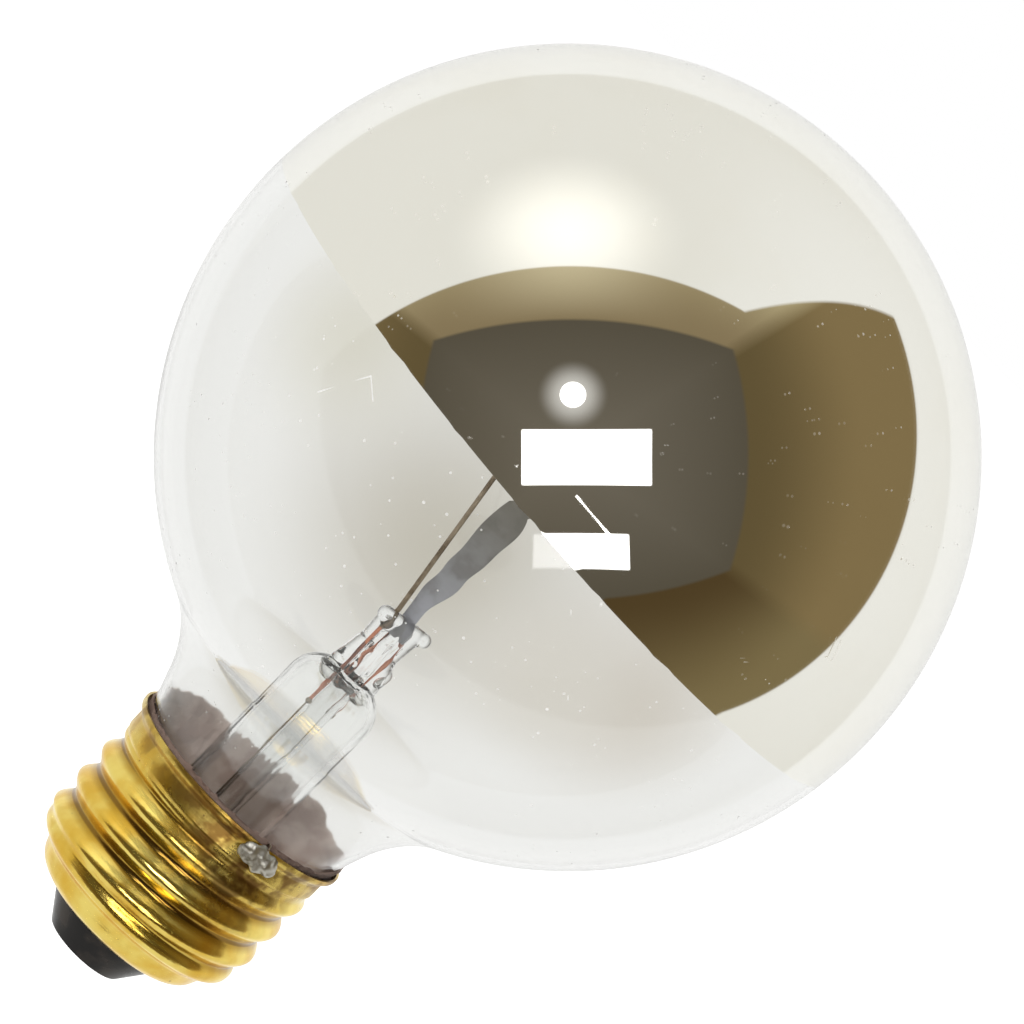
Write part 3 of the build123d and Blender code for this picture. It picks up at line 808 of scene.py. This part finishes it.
def blown_glass():
    """A ball cut open where the neck begins, its edge drawn down the neck, then given its wall."""
    line = neck_line()
    bpy.ops.object.select_all(action="DESELECT")
    bpy.ops.mesh.primitive_uv_sphere_add(
        segments=192, ring_count=144, radius=globe_radius, location=globe_centre)
    piece = start_mesh("globe_glass")
    bpy.ops.object.mode_set(mode="EDIT")
    bpy.ops.mesh.select_all(action="SELECT")
    bpy.ops.mesh.bisect(plane_co=(0, 0, line[0][1]), plane_no=(0, 0, -1), clear_outer=True)
    draw_edge(line)
    bpy.ops.object.mode_set(mode="OBJECT")
    thicken(piece, glass_wall, even=True)
    bpy.ops.object.shade_smooth_by_angle(angle=math.radians(50))
    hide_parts("glass_envelope")
    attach(piece, "root")
    return piece


def silvering():
    """The crown half of a ball, cut along its leaning edge, bonded in the inner face of the glass."""
    bpy.ops.object.select_all(action="DESELECT")
    bpy.ops.mesh.primitive_uv_sphere_add(
        segments=256, ring_count=160, radius=globe_radius - glass_wall + coat_thickness / 2,
        location=globe_centre)
    piece = start_mesh("silver_coat")
    lean = Vector((math.sin(coat_edge_tilt), 0, math.cos(coat_edge_tilt)))
    bpy.ops.object.mode_set(mode="EDIT")
    bpy.ops.mesh.select_all(action="SELECT")
    bpy.ops.mesh.bisect(
        plane_co=globe_centre - Vector((0, 0, coat_edge_drop)), plane_no=lean, clear_inner=True)
    bpy.ops.object.mode_set(mode="OBJECT")
    thicken(piece, coat_thickness)
    bpy.ops.object.shade_smooth_by_angle(angle=math.radians(50))
    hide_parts("mirror_coat")
    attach(piece, "root")
    return piece


def add_ball(name, place, sizes, turn=0.0):
    """A ball stretched to its three half sizes and turned about the bulb's axis."""
    bpy.ops.object.select_all(action="DESELECT")
    bpy.ops.mesh.primitive_uv_sphere_add(
        segments=48, ring_count=32, radius=1.0, location=place, rotation=(0, 0, turn))
    bpy.context.object.scale = sizes
    return start_mesh(name)


def lump(piece, name, size, depth):
    """Pushes a piece's surface in and out by a clouded pattern, as a freezing drop pulls it."""
    pattern = bpy.data.textures.new(name, "CLOUDS")
    pattern.noise_scale = size
    pattern.noise_depth = 1
    push = piece.modifiers.new(name, "DISPLACE")
    push.texture = pattern
    push.texture_coords = "GLOBAL"
    push.strength = depth
    push.mid_level = 0.5
    bpy.context.view_layer.objects.active = piece
    bpy.ops.object.modifier_apply(modifier=push.name)


def add_rod(name, start, end, radius):
    """A round-ended rod between two points: a ball whose one half is drawn away."""
    along = end - start
    bpy.ops.object.select_all(action="DESELECT")
    bpy.ops.mesh.primitive_uv_sphere_add(segments=40, ring_count=24, radius=radius)
    piece = bpy.context.object
    bpy.ops.object.mode_set(mode="EDIT")
    mesh = bmesh.from_edit_mesh(piece.data)
    for v in mesh.verts:
        v.select_set(v.co.z > 0.01 * radius)
    mesh.select_flush_mode()
    bpy.ops.transform.translate(value=(0, 0, along.length))
    bpy.ops.object.mode_set(mode="OBJECT")
    piece.location = start
    piece.rotation_mode = "QUATERNION"
    piece.rotation_quaternion = along.to_track_quat("Z", "Y")
    return start_mesh(name)


def stem_tube():
    """The stem's tube: a flared foot on the seal, straight sides and a rounded dome."""
    foot_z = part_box("glass_stem")[0].z
    curve = seal_radius - glass_wall - stem_radius
    line = arc((stem_radius + curve, foot_z + curve), curve, 1.5 * math.pi, math.pi, 16)
    line += arc(
        (stem_radius - stem_dome_round, dome_z - stem_dome_round), stem_dome_round,
        0, math.radians(80), 12)
    bpy.ops.object.select_all(action="DESELECT")
    bpy.ops.mesh.primitive_circle_add(
        vertices=96, radius=line[0][0], fill_type="NOTHING", location=(0, 0, line[0][1]))
    piece = start_mesh("stem_tube")
    bpy.ops.object.mode_set(mode="EDIT")
    bpy.ops.mesh.select_all(action="SELECT")
    draw_edge(line)
    bpy.ops.mesh.select_all(action="SELECT")
    bpy.ops.mesh.normals_make_consistent(inside=False)
    bpy.ops.object.mode_set(mode="OBJECT")
    thicken(piece, stem_wall, even=True)
    bpy.ops.object.shade_smooth_by_angle(angle=math.radians(50))
    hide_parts("glass_stem")
    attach(piece, "root")
    return piece


# The press in millimetres: across its width, out of its plane and down from its top.
# A rod has two ends and a radius, a bubble a middle and three half sizes.
press_rods = [
    ((-2.1, -0.7, 9.0), (-1.35, -0.7, 5.0), 1.2), ((-1.35, -0.7, 5.2), (-1.6, -0.7, 1.2), 0.95),
    ((-1.0, 0.3, 8.8), (-0.7, 0.0, 1.2), 1.15), ((0.6, -0.3, 8.8), (0.5, 0.1, 1.2), 1.15),
    ((2.6, 0.1, 9.0), (1.5, 0.1, 5.0), 1.3), ((1.5, 0.1, 5.2), (2.2, -0.1, 1.2), 1.1),
    ((2.5, 0.3, 7.6), (2.8, 0.3, 6.2), 0.95), ((-2.5, -0.5, 7.2), (-2.0, -0.4, 6.2), 0.8),
    ((-2.9, 0.1, 0.8), (3.0, 0.3, 0.9), 0.85), ((2.9, 0.4, 1.0), (3.5, 0.3, 0.9), 0.8),
    ((-2.9, 0.3, 0.8), (-2.3, 0.5, 1.4), 0.7), ((-0.4, 0.9, 2.2), (0.4, 0.8, 6.8), 0.45)]
press_bubbles = [
    ((2.6, 0.5, 6.9), (0.42, 0.36, 0.75)), ((-1.9, 0.6, 4.4), (0.12, 0.12, 0.6)),
    ((0.0, 0.7, 3.6), (0.12, 0.12, 0.8)), ((1.7, 0.6, 3.2), (0.14, 0.14, 0.5)),
    ((-2.6, 0.3, 0.9), (0.3, 0.25, 0.16)), ((0.5, 0.2, 8.0), (0.7, 0.5, 0.45))]
press_turn = math.radians(45)
melt_grain = 0.13 * mm


def in_press(across, out, down):
    """A place in the press, which stands turned about the bulb's axis."""
    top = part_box("glass_stem")[1].z
    wide = Vector((1, 1, 0)).normalized()
    flat = Vector((1, -1, 0)).normalized()
    return Vector((0, 0, top)) + (across * wide + out * flat) * mm - Vector((0, 0, down * mm))


def pinched_press():
    """Soft rods of glass pinched into one lump, with folds down its waist, a bar on top and bubbles."""
    pieces = [
        add_rod("rod_%d" % number, in_press(*start), in_press(*end), radius * mm)
        for number, (start, end, radius) in enumerate(press_rods)]
    for piece in pieces:
        piece.select_set(True)
    piece = pieces[0]
    bpy.context.view_layer.objects.active = piece
    bpy.ops.object.join()
    piece.name = "pinched_press"
    melt = piece.modifiers.new("melt", "REMESH")
    melt.mode = "VOXEL"
    melt.voxel_size = melt_grain
    bpy.ops.object.modifier_apply(modifier=melt.name)
    soften = piece.modifiers.new("soften", "SMOOTH")
    soften.factor = 0.5
    soften.iterations = 6
    bpy.ops.object.modifier_apply(modifier=soften.name)
    for number, (place, sizes) in enumerate(press_bubbles):
        bubble = add_ball("bubble_%d" % number, in_press(*place), [size * mm for size in sizes], press_turn)
        hollow = piece.modifiers.new("hollow", "BOOLEAN")
        hollow.operation = "DIFFERENCE"
        hollow.object = bubble
        bpy.context.view_layer.objects.active = piece
        bpy.ops.object.modifier_apply(modifier=hollow.name)
        bpy.data.objects.remove(bubble, do_unlink=True)
    piece.select_set(True)
    bpy.ops.object.shade_smooth_by_angle(angle=math.radians(60))
    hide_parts("glass_stem")
    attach(piece, "root")
    return piece


def solder_drop():
    """The drop that joins the side wire to the shell: flat on the skirt, under the lip."""
    size = rim_solder_high - rim_solder_low
    turn = math.atan2(solder_place.y, solder_place.x)
    piece = add_ball("solder_drop", solder_place, (0.8 * mm, 2.5 * mm, size.z / 2), turn)
    lump(piece, "freezing", 1.3 * mm, 1.0 * mm)
    bpy.ops.object.shade_smooth_by_angle(angle=math.radians(60))
    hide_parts("rim_solder")
    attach(piece, "root")
    return piece


# Rings of the crust: their heights over the rim in millimetres
crust_rise = [-0.5, 0.0, 0.4, 0.7]
crust_lowest = -0.6
crust_clearance = 0.02 * mm
crust_thickness = 0.22 * mm


def crust():
    """Cement squeezed out over the shell's lip as a thin ragged skin round the neck, most at the back."""
    slope = math.tan(neck_half_angle)
    line = [
        (neck_radius_at_rim + rise * mm * slope + crust_clearance, rim_z + rise * mm) for rise in crust_rise]
    bpy.ops.object.select_all(action="DESELECT")
    bpy.ops.mesh.primitive_circle_add(
        vertices=240, radius=line[0][0], fill_type="NOTHING", location=(0, 0, line[0][1]))
    piece = start_mesh("cement_crust")
    bpy.ops.object.mode_set(mode="EDIT")
    bpy.ops.mesh.select_all(action="SELECT")
    draw_edge(line)
    # pull each point of the upper edge up or down along the glass, highest at the back
    mesh = bmesh.from_edit_mesh(piece.data)
    mesh.verts.ensure_lookup_table()
    top = [v for v in mesh.verts if v.co.z > line[-1][1] - 0.1 * mm]
    for v in top:
        bpy.ops.mesh.select_all(action="DESELECT")
        v.select_set(True)
        out = Vector((v.co.x, v.co.y, 0)).normalized()
        teeth = noise.noise(Vector((v.co.x, v.co.y, 0)) * 190)
        teeth += 0.3 * noise.noise(Vector((v.co.y, v.co.x, 9)) * 650)
        height = 0.2 + 0.8 * out.y + (0.5 + 0.5 * out.y) * 2.6 * teeth
        height = max(crust_lowest, height) * mm
        bpy.ops.transform.translate(value=(slope * height * out.x, slope * height * out.y, height))
    bpy.ops.object.mode_set(mode="OBJECT")
    thicken(piece, crust_thickness, offset=1)
    lump(piece, "crumbling", 0.8 * mm, 0.1 * mm)
    bpy.ops.object.shade_smooth_by_angle(angle=math.radians(50))
    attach(piece, "root")
    return piece


def dress(piece, material):
    """Gives a piece its finish in place of any it has."""
    piece.data.materials.clear()
    piece.data.materials.append(material)


for name, slot in slots_of.items():
    dress(nodes[name], finishes[slot])
dress(blown_glass(), finishes["clear_glass"])
dress(silvering(), finishes["mirror_silver"])
dress(solder_drop(), finishes["solder"])
dress(crust(), finishes["cement"])
dress(stem_tube(), finishes["stem_glass"])
dress(pinched_press(), finishes["stem_glass"])

bpy.context.scene.view_settings.view_transform = "Standard"
build_world()
add_floor()
key_way = studio_back + 0.7 * studio_up + 0.1 * studio_right
add_lamp("key_lamp", key_way, distance=0.9, size=0.6, power=10.0)
add_camera()
